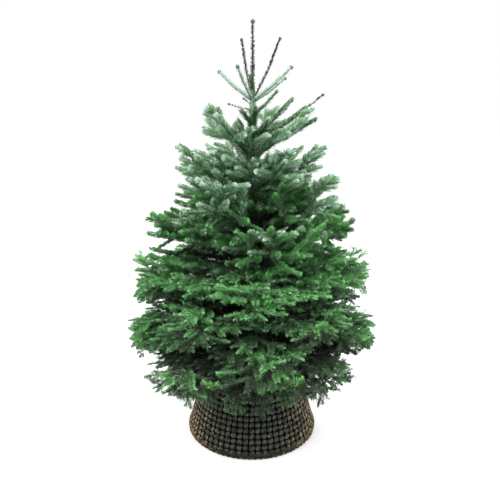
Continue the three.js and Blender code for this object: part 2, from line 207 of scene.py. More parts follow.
class Surface(Graph):
    """The node tree of a new material."""

    def __init__(self, name):
        self.material = bpy.data.materials.new(name)
        self.material.use_nodes = True
        super().__init__(self.material.node_tree)

    def place(self):
        return self.node("ShaderNodeTexCoord")["Object"]

    def noise(self, place, scale, detail):
        sockets = {"Vector": place, "Scale": scale, "Detail": detail}
        return self.node("ShaderNodeTexNoise", {}, sockets)["Fac"]

    def ramp(self, factor, *stops):
        """A colour that runs through stops, each a place and a colour."""
        return self.node("ShaderNodeValToRGB", {"stops": stops}, {"Fac": factor})[0]

    def finished(self, base, roughness, gloss=0.5, bump=None):
        """The material. A bump is its height, its strength and its distance."""
        sockets = {"Base Color": base, "Roughness": roughness, "Specular IOR Level": gloss}
        if bump:
            heights = dict(zip(("Height", "Strength", "Distance"), bump))
            sockets["Normal"] = self.node("ShaderNodeBump", {}, heights)["Normal"]
        self.feed(self.tree.nodes["Principled BSDF"], sockets)
        return self.material


def piece_of(name, points, faces, material):
    mesh = bpy.data.meshes.new(name)
    mesh.from_pydata(points, [], faces)
    mesh.materials.append(material)
    return placed(name, mesh)


corners = [(x * FLOOR_HALF, y * FLOOR_HALF, 0) for x, y in ((-1, -1), (1, -1), (1, 1), (-1, 1))]
pale_floor = Surface("pale_floor").finished(FLOOR_WHITE, 1.0, 0.0)
floor = piece_of("floor", corners, [(0, 1, 2, 3)], pale_floor)

# ---- Basket ---------------------------------------------------------------------------
# A low round basket, woven of seagrass rope. Every row is one rope of twisted blades that the
# stakes squeeze. A thin cord binds row to row, and the foot and the rim are plaited.
MM = 0.001
BASKET_FOOT_RADIUS = 293 * MM
BASKET_RIM_RADIUS = 217 * MM
BASKET_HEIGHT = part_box("basket")[1].z
STAKES = 64
STAKE_SAMPLES = 6  # points of a rope from stake to stake
ROWS = 11
ROWS_FROM, ROWS_TO = 12 * MM, 268 * MM
ROPE_RADII = (7.4 * MM, 12.2 * MM)  # at a stake, and midway between two
ROPE_DEPTHS = (9.4 * MM, 5.4 * MM)  # of the rope's middle inside the wall's outside, at the same places
ROPE_FILLING = 0.6  # the lower, the sooner a rope is full beside a stake
ROPE_SWING = 1.3 * MM
ROPE_WANDER = 1.6 * MM
ROPE_UNEVEN = 0.05
BLADE_TWIST = 310  # radians a metre
SHEEN_FROM, SHEEN_RISE = 0.145, 4.6  # how far to the sides the painted sheen turns ropes golden, and how fast
STAKE_RADIUS = 3.1 * MM
STAKE_PROUD = 1.6 * MM
STAKE_WANDER = 0.16  # as a share of the gap between two stakes
STAKE_ENDS = (6 * MM, 8 * MM)  # over the foot, and under the rim
CORD_RADIUS = 1.8 * MM
CORD_SAMPLES = 4
CORD_SWING, CORD_WANDER, CORD_PROUD = 1.8 * MM, 3.5 * MM, 0.4 * MM
PLAIT_RADIUS = 6.4 * MM
PLAIT_SWING = 9 * MM
PLAIT_FLATNESS = 0.55
PLAIT_TURNS = 26
PLAIT_SAMPLES = 10  # to a turn
PLAIT_PLIES = 3
PLAITS = ((BASKET_HEIGHT - 9 * MM, 8 * MM), (16 * MM, 2 * MM))  # height, and depth inside the wall
LINING_DEPTHS = (16 * MM, 14 * MM)  # inside the wall at the foot and at the rim
LINING_FLOOR = (2 * MM, 12 * MM)  # its underside and its top
LINING_UNDER_RIM = 10 * MM
LINING_THICKNESS = 6 * MM


class Growth(Graph):
    """An empty Geometry Nodes tree with a geometry input and named number inputs."""

    def __init__(self, name, **inputs):
        super().__init__(bpy.data.node_groups.new(name, "GeometryNodeTree"))
        sockets = self.tree.interface
        sockets.new_socket("Geometry", in_out="INPUT", socket_type="NodeSocketGeometry")
        sockets.new_socket("Geometry", in_out="OUTPUT", socket_type="NodeSocketGeometry")
        for label, default in inputs.items():
            kind = "NodeSocketInt" if isinstance(default, int) else "NodeSocketFloat"
            sockets.new_socket(label, in_out="INPUT", socket_type=kind).default_value = default
        self.given = self.node("NodeGroupInput")

    def geometry(self, kind, settings=None, **sockets):
        """A node's first output. In a socket's name, _ stands for a space."""
        named = {label.replace("_", " "): value for label, value in sockets.items()}
        return self.node("GeometryNode" + kind, settings, named)[0]

    def attribute(self, label, kind="FLOAT"):
        return self.geometry("InputNamedAttribute", {"data_type": kind}, Name=label)

    def without(self, geometry, *labels):
        """A geometry without the attributes that it was made by."""
        for label in labels:
            geometry = self.geometry("RemoveAttribute", Geometry=geometry, Name=label)
        return geometry

    def finished(self, geometry, material):
        made = self.geometry("SetMaterial", Geometry=geometry, Material=material)
        self.node("NodeGroupOutput", {}, {"Geometry": made})
        return self.tree


def mesh_by(tree, holder, name, **settings):
    """What a tree makes of an object, as a plain mesh object. The holder is then removed."""
    modifier = holder.modifiers.new(name, "NODES")
    modifier.node_group = tree
    for item in tree.interface.items_tree:
        if item.in_out == "INPUT" and item.name in settings:
            modifier[item.identifier] = settings[item.name]
    shown = holder.evaluated_get(bpy.context.evaluated_depsgraph_get())
    mesh = bpy.data.meshes.new_from_object(shown)
    mesh.name = name
    bpy.data.objects.remove(holder)
    return placed(name, mesh)


def holder_of(name, points, edges, **marks):
    """An object of points and edges. Each mark is an attribute, with its value at every point."""
    mesh = bpy.data.meshes.new(name)
    mesh.from_pydata(points, edges, [])
    for label, values in marks.items():
        values = np.array(values)
        kind, key = ("FLOAT_VECTOR", "vector") if values.ndim == 2 else ("FLOAT", "value")
        if values.dtype.kind == "i":
            kind, values = "INT", values.astype(np.int32)
        else:
            values = values.astype(np.float32)
        mesh.attributes.new(label, kind, "POINT").data.foreach_set(key, values.ravel())
    return placed(name, mesh)


def mix(first, second, share):
    return first + (second - first) * share


def polar(radius, bearing, height):
    return Vector((radius * cos(bearing), radius * sin(bearing), height))


def strand_tree(material):
    """A tree that makes strands from lines of edges, which carry their own girth."""
    graph = Growth("strands", Sides=8, Taper=0.0)
    curve = graph.geometry("MeshToCurve", Mesh=graph.given["Geometry"])
    spline = graph.node("GeometryNodeSplineParameter")
    girth = graph.attribute("girth") * (1 - spline["Factor"] * graph.given["Taper"])
    curve = graph.geometry("StoreNamedAttribute", Geometry=curve, Name="run", Value=spline["Length"])
    ring = graph.geometry("CurvePrimitiveCircle", Resolution=graph.given["Sides"], Radius=1.0)
    place = graph.geometry("InputPosition")
    vectors = {"data_type": "FLOAT_VECTOR"}
    ring = graph.geometry("StoreNamedAttribute", vectors, Geometry=ring, Name="round", Value=place)
    mesh = graph.geometry("CurveToMesh", Curve=curve, Profile_Curve=ring, Fill_Caps=True, Scale=girth)
    return graph.finished(mesh, material)


def rope_material(name, dark, grey, gold_tone_and_sheen, gloss=0.2):
    """Seagrass rope of twisted blades: grey-green in front and behind, golden at the sides as painted sheen
    of grazing light, with golden patches of its own tone, and dark between the blades as painted shade.
    """
    graph = Surface(name)
    place = graph.place()
    run = graph.node("ShaderNodeAttribute", {"attribute_name": "run"})["Fac"]
    rounds = graph.parts(graph.node("ShaderNodeAttribute", {"attribute_name": "round"})["Vector"])
    turn = rounds["Y"].maths("ARCTAN2", rounds["X"])
    blades = (turn * 2 + run * BLADE_TWIST).maths("SINE") * 0.7 + 0.5
    patches = graph.noise(place, 62.0, 4.0)
    fibres = graph.noise(place, 420.0, 2.0)
    ages = graph.noise(place, 58.0, 1.0)
    # Painted sheen: ropes turn golden towards the sides, where light grazes them. The noise patches are the
    # rope's own golden tone.
    sides = graph.parts(place)["X"].maths("ABSOLUTE")
    gold_tone_and_sheen_share = (sides - SHEEN_FROM) * SHEEN_RISE + (patches - 0.5) * 3.4
    gold_tone_and_sheen_share = graph.node("ShaderNodeClamp", {}, {0: gold_tone_and_sheen_share})[0]
    base = graph.mixed(gold_tone_and_sheen_share, grey, gold_tone_and_sheen)
    # Painted shade: the twisted blades' stripes darken towards the dark colour, more at the golden sides.
    # Fibres and ages are the rope's own grain and tone.
    light = blades * (gold_tone_and_sheen_share * 0.55 + 0.3) + fibres * 0.6 + (ages - 0.5) * 1.7
    light = graph.node("ShaderNodeClamp", {}, {0: light})[0]
    relief = blades * 0.7 + fibres * 0.3
    return graph.finished(graph.mixed(light, dark, base), 0.62, gloss, (relief, 0.8, 1.5 * MM))


def wall_radius(height):
    return mix(BASKET_FOOT_RADIUS, BASKET_RIM_RADIUS, height / BASKET_HEIGHT)


def strands(name, lines, material, sides, closed=True):
    """A piece of strands. Each line is a list of places and a list of their girths."""
    points, girths, edges = [], [], []
    for places, line_girths in lines:
        first, count = len(points), len(places)
        points += places
        girths += line_girths
        edges += [(first + i, first + i + 1) for i in range(count - 1)]
        if closed:
            edges.append((first + count - 1, first))
    holder = holder_of(name + "_lines", points, edges, girth=girths)
    return mesh_by(strand_tree(material), holder, name, Sides=sides, Taper=0.0)


def rope_line(height):
    """A row's rope. The stakes squeeze it, and it is full between them."""
    places, girths = [], []
    for sample in range(STAKES * STAKE_SAMPLES):
        turn = 2 * pi * sample / (STAKES * STAKE_SAMPLES)
        full = abs(cos(turn * STAKES / 2)) ** ROPE_FILLING
        uneven = noise.noise(Vector((cos(turn) * 9, sin(turn) * 9, height * 60)))
        lift = ROPE_SWING * sin(turn * STAKES) + ROPE_WANDER * uneven
        radius = wall_radius(height + lift) - mix(*ROPE_DEPTHS, full)
        places.append(polar(radius, turn, height + lift))
        girths.append(mix(*ROPE_RADII, full) * (1 + ROPE_UNEVEN * uneven))
    return places, girths


def plait_line(height, radius, ply):
    places = []
    samples = PLAIT_TURNS * PLAIT_SAMPLES
    for sample in range(samples):
        turn = 2 * pi * sample / samples
        phase = turn * PLAIT_TURNS + 2 * pi * ply / PLAIT_PLIES
        outward = PLAIT_SWING * PLAIT_FLATNESS * sin(2 * phase)
        places.append(polar(radius + outward, turn, height + PLAIT_SWING * sin(phase)))
    return places, [PLAIT_RADIUS] * samples


row_height = (ROWS_TO - ROWS_FROM) / ROWS
row_heights = [ROWS_FROM + row_height * (row + 0.5) for row in range(ROWS)]
rope = rope_material("seagrass_rope", colour(11, 10, 6), colour(64, 71, 62), colour(146, 131, 97))
ropes = strands("basket_ropes", [rope_line(height) for height in row_heights], rope, 10)
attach(ropes, "root")
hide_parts("basket")

stake_lines = []
for stake in range(STAKES):
    places = []
    for step in range(2 * ROWS + 1):
        height = mix(STAKE_ENDS[0], BASKET_HEIGHT - STAKE_ENDS[1], step / (2 * ROWS))
        wander = STAKE_WANDER * noise.noise(Vector((stake * 3.7, height * 60, 2)))
        turn = 2 * pi * (stake + 0.5 + wander) / STAKES
        places.append(polar(wall_radius(height) + STAKE_PROUD, turn, height))
    stake_lines.append((places, [STAKE_RADIUS] * len(places)))
# The stakes are real, but their near-black colour is painted shade of the vertical grooves between the ropes'
# pillows.
dark_cord = rope_material("dark_cord", colour(2, 2, 1), colour(6, 5, 4), colour(34, 25, 14), 0.02)
stakes = strands("basket_stakes", stake_lines, dark_cord, 6, closed=False)
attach(stakes, "root")

cord_lines = []
for row in range(1, ROWS):
    height = ROWS_FROM + row_height * row
    places = []
    for sample in range(STAKES * CORD_SAMPLES):
        turn = 2 * pi * sample / (STAKES * CORD_SAMPLES)
        uneven = noise.noise(Vector((cos(turn) * 11, sin(turn) * 11, row * 3.3)))
        lift = CORD_SWING * cos(turn * STAKES) + CORD_WANDER * uneven
        places.append(polar(wall_radius(height) + CORD_PROUD, turn, height + lift))
    cord_lines.append((places, [CORD_RADIUS] * len(places)))
red_cord = rope_material("red_cord", colour(5, 3, 2), colour(34, 18, 14), colour(74, 52, 30), 0.02)
cords = strands("basket_cords", cord_lines, red_cord, 5)
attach(cords, "root")

plait_lines = []
for ply in range(PLAIT_PLIES):
    for height, depth in PLAITS:
        plait_lines.append(plait_line(height, wall_radius(height) - depth, ply))
plait = rope_material("plaited_seagrass", colour(5, 4, 3), colour(43, 37, 29), colour(132, 109, 76))
plaits = strands("basket_plaits", plait_lines, plait, 8)
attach(plaits, "root")


def tube_faces(rings, sides):
    """The faces of a closed tube through rings of points."""
    faces = []
    for low in range(0, (rings - 1) * sides, sides):
        for side in range(sides):
            after = (side + 1) % sides
            faces.append((low + side, low + after, low + after + sides, low + side + sides))
    faces.append(tuple(range(sides - 1, -1, -1)))
    faces.append(tuple(range((rings - 1) * sides, rings * sides)))
    return faces


# The lining is a near-black wall and floor behind the ropes: painted shade that shows in the gaps between
# them.
lining_foot = wall_radius(0) - LINING_DEPTHS[0]
lining_rim = wall_radius(BASKET_HEIGHT) - LINING_DEPTHS[1]
lining_rings = [
    (lining_foot, LINING_FLOOR[0]),
    (lining_rim, BASKET_HEIGHT - LINING_UNDER_RIM),
    (lining_rim - LINING_THICKNESS, BASKET_HEIGHT - LINING_UNDER_RIM),
    (lining_foot - LINING_THICKNESS, LINING_FLOOR[1]),
]
lining_points = [polar(r, 2 * pi * i / STAKES, z) for r, z in lining_rings for i in range(STAKES)]
dark_lining = Surface("dark_lining").finished(colour(8, 7, 5), 1.0, 0.0)
lining = piece_of("basket_lining", lining_points, tube_faces(len(lining_rings), STAKES), dark_lining)
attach(lining, "root")

# ---- Potting mix ----------------------------------------------------------------------
# Dark peat fills the basket round the trunk's foot. Its top is lumpy, and small crumbs of
# bark lie all over it.
FILL_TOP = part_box("potting_fill")[1].z
FILL_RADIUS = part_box("potting_fill")[1].x
FILL_GAP = 22 * MM  # between the fill's edge and the wall's outside
FILL_FOOT_GAP, FILL_FOOT = 30 * MM, 14 * MM  # the same at its underside, and that side's height
FILL_RINGS, FILL_SIDES = 40, 120
LUMPS, FINER = 24, 4  # lumps a metre, and how many times finer the smaller ones are
LUMP_HEIGHT, FINE_LUMP_HEIGHT = 5 * MM, 2.5 * MM
CRUMB_DENSITY = 9000.0  # a square metre
CRUMB_LEVEL = 0.7  # crumbs lie where the ground's normal points up more than this
CRUMB_TILT = 0.5
CRUMB_SIZES = [(2 * MM, 7 * MM), (2 * MM, 5 * MM), (1.2 * MM, 2.5 * MM)]  # half sizes each way
CRUMB_SEED = 7


def fill_height(x, y):
    place = Vector((x * LUMPS, y * LUMPS, 0))
    return LUMP_HEIGHT * noise.noise(place) + FINE_LUMP_HEIGHT * noise.noise(place * FINER)


fill_rim = min(wall_radius(FILL_TOP) - FILL_GAP, FILL_RADIUS)
fill_points = [(0, 0, FILL_TOP)]
for ring in range(1, FILL_RINGS + 1):
    for side in range(FILL_SIDES):
        spot = polar(fill_rim * ring / FILL_RINGS, 2 * pi * side / FILL_SIDES, FILL_TOP)
        lift = fill_height(spot.x, spot.y) if ring < FILL_RINGS else 0
        fill_points.append((spot.x, spot.y, spot.z + lift))
bottom = len(fill_points)
for side in range(FILL_SIDES):
    fill_points.append(polar(wall_radius(0) - FILL_FOOT_GAP, 2 * pi * side / FILL_SIDES, FILL_FOOT))
fill_faces = [(0, 1 + side, 1 + (side + 1) % FILL_SIDES) for side in range(FILL_SIDES)]
for ring in range(FILL_RINGS):
    inner = 1 + ring * FILL_SIDES
    outer = inner + FILL_SIDES
    for side in range(FILL_SIDES):
        after = (side + 1) % FILL_SIDES
        fill_faces.append((inner + side, outer + side, outer + after, inner + after))
fill_faces.append(tuple(range(bottom + FILL_SIDES - 1, bottom - 1, -1)))


def peat_material():
    graph = Surface("peat")
    lumps = graph.noise(graph.place(), 90.0, 6.0)
    base = graph.mixed(lumps, colour(22, 16, 12), colour(70, 54, 42))
    return graph.finished(base, 0.95, bump=(lumps, 1.0, 3 * MM))


def crumb_tree(material):
    graph = Growth("crumbs", Density=CRUMB_DENSITY, Seed=CRUMB_SEED)
    given = graph.given
    level = graph.parts(graph.geometry("InputNormal"))["Z"] > CRUMB_LEVEL
    sockets = {"Mesh": given["Geometry"], "Density": given["Density"], "Seed": given["Seed"]}
    spots = graph.geometry("DistributePointsOnFaces", **sockets, Selection=level)
    crumb = graph.geometry("MeshIcoSphere", Radius=1.0, Subdivisions=1)

    def chance(number, low, high):
        sockets = {2: low, 3: high, "Seed": number}
        return graph.node("FunctionNodeRandomValue", {"data_type": "FLOAT"}, sockets)[1]

    size = graph.joined(*[chance(number, *CRUMB_SIZES[number]) for number in range(3)])
    tilts = [chance(number, -CRUMB_TILT, CRUMB_TILT) for number in (4, 5)]
    turn = graph.joined(*tilts, chance(6, 0, 6.28))
    crumbs = graph.geometry("InstanceOnPoints", Points=spots, Instance=crumb, Scale=size, Rotation=turn)
    return graph.finished(graph.geometry("RealizeInstances", Geometry=crumbs), material)


peat = peat_material()
fill = piece_of("potting_mix", fill_points, fill_faces, peat)
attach(fill, "root")
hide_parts("potting_fill")
ground = piece_of("crumb_ground", fill_points, fill_faces[:-FILL_SIDES - 1], peat)
crumb_bark = Surface("crumb_bark").finished(colour(84, 60, 42), 0.85)
crumbs = mesh_by(crumb_tree(crumb_bark), ground, "bark_crumbs", Density=CRUMB_DENSITY, Seed=CRUMB_SEED)
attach(crumbs, "root")

# ---- Trunk and boughs -----------------------------------------------------------------
# The trunk is one stem from the fill to the leader's tip, and fifteen boughs leave it. The
# young bark is grey-brown, with fine cracks, rings under each tier and small resin blisters.
TRUNK_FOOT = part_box("trunk")[0].z
TRUNK_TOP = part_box("trunk")[1].z
TRUNK_SIDES = 36
LEADER_FOOT = 1480 * MM
TRUNK_RADII = (33 * MM, 21 * MM, 6 * MM, 2.8 * MM)  # foot, over the flare, leader's foot, leader's tip
FLARE_HEIGHT = 80 * MM
FLARE_LOBES, LOBE_DEPTH = 5, 0.1
LEAN = 3 * MM
BOUGH_RADII = (9 * MM, 6 * MM)
BOUGH_SIDES = 16
BOUGH_INSIDE = 1 * MM  # how far a bough starts inside the trunk
RING_STEP = 4 * MM
CRACK_DEPTH, GRAIN_DEPTH, BLISTER_HEIGHT = 1.1 * MM, 0.35 * MM, 3.2 * MM
RUGGED_GIRTH = 12 * MM  # bark on less than this radius is smoother
COLLAR_HEIGHT, COLLAR_LENGTH = 2.2 * MM, 14 * MM
BARK_RING_HEIGHT, BARK_RING_LENGTH, BARK_RING_BELOW = 0.7 * MM, 4 * MM, 30 * MM
YOUNG_FROM, YOUNG_TO = 0.9, 1.5  # heights between which the bark turns green-grey

# The tiers of fans from the lowest up, in millimetres and degrees. Where start is not 0 a
# bough carries the fan out to that radius.
TIER_KEYS = ("height", "count", "reach", "rise", "tip_rise", "turn", "start", "open")
TIERS = [
    dict(zip(TIER_KEYS, row))
    for row in [
        (340, 5, 420, 14, -10, 54, 0, False),
        (440, 5, 575, 6, -14, 18, 190, False),
        (525, 5, 565, 6, -11, 54, 180, False),
        (615, 5, 545, 8, -3, 22, 170, False),
        (715, 5, 530, 10, 4, 58, 0, False),
        (820, 4, 462, 18, 12, 13, 0, False),
        (940, 4, 402, 24, 22, 58, 0, False),
        (1085, 4, 335, 28, 30, 18, 0, False),
        (1250, 4, 275, 30, 38, 63, 0, True),
    ]
]
for tier in TIERS:
    for key in ("height", "reach", "start"):
        tier[key] *= MM
SEED = 4127
TURN_SCATTER = 5
REACH_SCATTER = 0.05
WHORL_MARKS = [tier["height"] for tier in TIERS] + [LEADER_FOOT]


def numbers_from(seed):
    """The same stream of numbers from 0 to 1 as the model's own."""
    state = seed % 2147483647
    while True:
        state = state * 48271 % 2147483647
        yield state / 2147483647


def slope(degrees):
    return tan(radians(degrees))


def tier_height(tier, radius):
    """The height of a tier's middle surface at a radius."""
    inside = min(radius, tier["reach"])
    bend = (slope(tier["tip_rise"]) - slope(tier["rise"])) / (2 * tier["reach"])
    beyond = max(0, radius - tier["reach"]) * slope(tier["tip_rise"])
    return tier["height"] + slope(tier["rise"]) * inside + bend * inside**2 + beyond


def fan_plan(level, index):
    """Where a fan stands: its sector, its own bearing and its reach."""
    tier = TIERS[level]
    draw = numbers_from(SEED + 97 * level + 13 * index)
    next(draw)
    sector = radians(tier["turn"] + 360 * index / tier["count"])
    bearing = sector + radians(TURN_SCATTER * (2 * next(draw) - 1))
    reach = tier["reach"] * (1 - REACH_SCATTER * next(draw))
    return sector, bearing, reach


def flare_at(height):
    return max(0, 1 - (height - TRUNK_FOOT) / FLARE_HEIGHT)


def trunk_radius(height):
    foot, over, leader, tip = TRUNK_RADII
    if height <= LEADER_FOOT:
        along = (height - TRUNK_FOOT) / (LEADER_FOOT - TRUNK_FOOT)
        return (foot - over) * flare_at(height) ** 2 + mix(over, leader, along)
    return mix(leader, tip, min(1, (height - LEADER_FOOT) / (TRUNK_TOP - LEADER_FOOT)))


def trunk_point(height):
    return Vector((LEAN * (height - TRUNK_FOOT) / (TRUNK_TOP - TRUNK_FOOT), 0, height))


def bark_relief(place, girth):
    """How far the bark stands out at a place: long cracks, a fine grain and resin blisters."""
    cracks = max(0, noise.noise(Vector((place.x * 260, place.y * 260, place.z * 38))) - 0.12)
    grain = noise.noise(place * 520)
    blister = max(0, noise.noise(place * 130 + Vector((5, 3, 1))) - 0.42)
    rugged = min(1, girth / RUGGED_GIRTH)
    return rugged * (-CRACK_DEPTH * cracks + GRAIN_DEPTH * grain + BLISTER_HEIGHT * blister)


def collar(height):
    """The swelling of the trunk where a tier leaves it, and the ring under it."""
    swell = sum(exp(-(((height - mark) / COLLAR_LENGTH) ** 2)) for mark in WHORL_MARKS)
    lower = height + BARK_RING_BELOW
    rings = sum(exp(-(((lower - mark) / BARK_RING_LENGTH) ** 2)) for mark in WHORL_MARKS)
    return COLLAR_HEIGHT * swell + BARK_RING_HEIGHT * rings


def skin(centres, frames, radius_at, sides):
    """A closed tube through centres. frames gives each ring's two directions."""
    points = []
    for centre, (across, lift) in zip(centres, frames):
        for turn in np.linspace(0, 2 * pi, sides, endpoint=False):
            way = across * cos(turn) + lift * sin(turn)
            points.append(centre + way * radius_at(turn, centre, way))
    return points, tube_faces(len(centres), sides)


def bark_material():
    graph = Surface("fir_bark")
    place = graph.place()
    long_grain = graph.node("ShaderNodeMapping", {}, {"Vector": place, "Scale": (240, 240, 34)})[0]
    cracks = graph.noise(long_grain, 1.0, 5.0)
    patches = graph.noise(place, 22.0, 3.0)
    blisters = graph.node("ShaderNodeTexVoronoi", {}, {"Vector": place, "Scale": 150.0})["Distance"]
    greys = ((0.3, colour(48, 40, 34)), (0.52, colour(96, 86, 76)), (0.75, colour(136, 126, 112)))
    mosses = ((0.42, colour(92, 80, 68)), (0.68, colour(104, 112, 88)))
    old_bark = graph.mixed(0.45, graph.ramp(cracks, *greys), graph.ramp(patches, *mosses))
    young_bark = graph.mixed(cracks, colour(12, 18, 14), colour(38, 50, 40))
    sockets = {0: graph.parts(place)["Z"], 1: YOUNG_FROM, 2: YOUNG_TO}
    young = graph.node("ShaderNodeMapRange", {}, sockets)[0]
    relief = cracks * 0.7 + (1 - blisters) * 0.3
    base = graph.mixed(young * 0.95, old_bark, young_bark)
    return graph.finished(base, 0.62 + cracks * 0.3, bump=(relief, 0.6, 1.2 * MM))


def trunk_bark(turn, centre, way):
    height = centre.z
    lobes = 1 + LOBE_DEPTH * flare_at(height) * cos(FLARE_LOBES * turn)
    girth = trunk_radius(height)
    swell = collar(height) if height < LEADER_FOOT + BARK_RING_BELOW else 0
    return girth * lobes + swell + bark_relief(centre + way * girth, girth)


fir_bark = bark_material()
heights = np.arange(TRUNK_FOOT, TRUNK_TOP, RING_STEP)
upright = [(Vector((1, 0, 0)), Vector((0, 1, 0)))] * len(heights)
trunk_skin = skin([trunk_point(height) for height in heights], upright, trunk_bark, TRUNK_SIDES)
trunk = piece_of("trunk_bark", *trunk_skin, fir_bark)
trunk.data.shade_smooth()
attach(trunk, "root")
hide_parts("trunk")

bough_points, bough_faces, bough_nodes = [], [], []
for level, tier in enumerate(TIERS):
    for index in range(tier["count"] if tier["start"] else 0):
        bearing = fan_plan(level, index)[1]
        radii = np.arange(trunk_radius(tier["height"]) - BOUGH_INSIDE, tier["start"], RING_STEP)
        way = polar(1, bearing, 0)
        frames = [(Vector((0, 0, 1)), Vector((way.y, -way.x, 0)))] * len(radii)

        def bough_bark(turn, centre, out):
            girth = mix(*BOUGH_RADII, hypot(centre.x, centre.y) / tier["start"])
            return girth + bark_relief(centre + out * girth, girth)

        centres = [polar(radius, bearing, tier_height(tier, radius)) for radius in radii]
        points, faces = skin(centres, frames, bough_bark, BOUGH_SIDES)
        bough_faces += [tuple(corner + len(bough_points) for corner in face) for face in faces]
        bough_points += points
        bough_nodes.append(f"bough_{level + 1}_{index + 1}")
boughs = piece_of("bough_bark", bough_points, bough_faces, fir_bark)
boughs.data.shade_smooth()
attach(boughs, "root")
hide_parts(*bough_nodes)

# ---- The fans' twigs ------------------------------------------------------------------
# Each fan has a stem, and pairs of twigs leave it at the end of every year's growth, and
# pairs of finer ones leave those. A few lean up or hang. Every year's shoot holds needles.
LOOSE_FROM = 5  # from this tier on, twigs lean out of their fan's plane
YEARS = {False: 0.074, True: 0.105}  # length of one summer's growth, in the flat and in the loose tiers
NEXT_SEED = 90001
SIDE_ANGLE = 46
STEM_RADII = (6 * MM, 3.2 * MM)
STEM_FROM = 0.72  # a stem starts inside its bough, at this share of the bough's reach
SIDE_SHARE = 0.86  # length of a side twig, as a share of what its parent has still to grow
STEM_SIDE_LEAST = 0.36  # least length of a stem's side twigs, as a share of the fan's reach
SHORTEST = 0.04
TIP_ROOM = 0.018  # between a shoot's tip and the fan's reach, for its needles
SIDE_ROOM = 0.025  # how far a twig may pass its sector's side
SHORT_FANS = {(1, 4): 0.96, (8, 1): 0.9}  # fans that end early, as shares of their tier's reach
ROUNDED = 0.07  # how much nearer than its middle a fan ends at its sides, as a share of its reach
TOP_ROOM = 0.045  # over the top tier's middle
LOW_TIERS, LOW_ROOM = 2, 0.022  # so many tiers from below keep their twigs this near under their middle
SPARSE_TIER, SPARSE_FROM, SPARSE_ROOM = 7, 0.2, 0.05  # this tier's ends stay near under the open one
BASKET_ROOM = (0.30, 0.30)  # twigs stay outside this radius or over this height
RISER_TILTS = {False: (), True: (48,)}
STEM_RISER_TILTS = {False: (24, -20), True: (44, -38, 30)}
OPEN_RISER_TILTS = (26,)
TRUNK_TWIGS = {False: 6, True: 9}
OPEN_TRUNK_TWIGS = 4
TRUNK_TWIG_RISES = {False: (-0.045, 0.075), True: (-0.045, 0.14)}  # where they leave, from the tier's height
HANGING = (0.6, 0.12, 0.1, 0.08, 0.05, 0)  # how much the last shoots hang, from the lowest tier up
BUD_SIZE, STEM_BUD_SIZE = 2.1 * MM, 2.4 * MM

SHOOT_KEYS = ("foot", "tip", "up", "tint", "end_tint", "size", "fullness", "spread", "flat", "girth", "part")
shoots = {name: [] for name in SHOOT_KEYS}
tips = {name: [] for name in ("place", "heading", "size")}
TINTS = {
    "shade": colour(27, 32, 26),
    "black": colour(37, 43, 35),
    "dark": colour(46, 59, 44),
    "deep": colour(60, 84, 58),
    "green": colour(74, 114, 72),
    "fresh": colour(92, 150, 88),
    "bright": colour(112, 176, 106),
    "lime": colour(150, 208, 92),
    "night": colour(48, 56, 46),
    "dim": colour(57, 67, 55),
    "dusk": colour(76, 101, 73),
    "sage": colour(102, 146, 100),
    "light": colour(128, 168, 126),
    "pale": colour(163, 190, 169),
    "silver": colour(199, 215, 206),
}
TINT_NAMES = list(TINTS)
UP = Vector((0, 0, 1))


def add_shoot(part, foot, tip, up, tints, size, fullness, spread, flat, girth):
    """A year's shoot. Its tints are of its needles along it and at its end."""
    numbers = [TINT_NAMES.index(tint) for tint in tints]
    values = (foot, tip, up, *numbers, size, fullness, radians(spread), flat, girth, part)
    for name, value in zip(SHOOT_KEYS, values):
        shoots[name].append(value)


def add_tip(place, heading, size):
    for name, value in zip(tips, (place, heading, size)):
        tips[name].append(value)


def beside(heading, up, turn, tilt):
    """A direction beside a heading, turned in its plane and tilted out of it, in degrees."""
    side = heading.cross(up).normalized()
    level = heading * cos(radians(turn)) + side * sin(radians(turn))
    return (level * cos(radians(tilt)) + up * sin(radians(tilt))).normalized()


def flat_up(heading):
    """The way that is up for a shoot whose fan lies flat."""
    return heading.cross(UP).normalized().cross(heading)


def spread_of(point):
    return hypot(point.x, point.y)


class Space:
    """The room that one fan may grow in."""

    def __init__(self, level, index, sector):
        self.tier = TIERS[level]
        self.reach = self.tier["reach"] * SHORT_FANS.get((level, index), 1)
        self.above = TIERS[level + 1] if level + 1 < len(TIERS) else None
        self.below = TIERS[level - 1] if level else None
        self.most_below = LOW_ROOM if level < LOW_TIERS else 1
        self.sparse = level == SPARSE_TIER
        self.sector = sector
        self.half = pi / self.tier["count"]

    def holds(self, point):
        radius = spread_of(point)
        turn = atan2(point.y, point.x) - self.sector
        off = abs(atan2(sin(turn), cos(turn)))
        end = self.reach * (1 - ROUNDED * (off / self.half) ** 2) - TIP_ROOM
        if not 0.02 < radius < end or radius * sin(max(0, off - self.half)) > SIDE_ROOM:
            return False
        middle = tier_height(self.tier, radius)
        room_above = (tier_height(self.above, radius) - middle) / 2 if self.above else TOP_ROOM
        if self.sparse and radius > SPARSE_FROM:
            room_above = min(room_above, SPARSE_ROOM)
        room_below = (middle - tier_height(self.below, radius)) / 2 if self.below else 1
        room_below = min(room_below, self.most_below)
        clear = radius > BASKET_ROOM[0] or point.z > BASKET_ROOM[1]
        return clear and -room_below < point.z - middle < room_above

    def fitted(self, foot, heading, length):
        """A shoot's tip in the space, with its heading bent to the fan's middle if need be."""
        bearing = atan2(foot.y, foot.x)
        off = atan2(sin(bearing - self.sector), cos(bearing - self.sector))
        ahead = min(spread_of(foot) + length, self.reach - TIP_ROOM)
        middle = polar(ahead, self.sector + off * 0.8, tier_height(self.tier, ahead))
        home = (middle - foot).normalized()
        short = max(SHORTEST, length * 0.55)
        for share, step in ((0, length), (0.3, length), (0.6, length), (0, short), (0.4, short)):
            bent = (heading * (1 - share) + home * share).normalized()
            if self.holds(foot + bent * step):
                return bent, step
        return None, 0
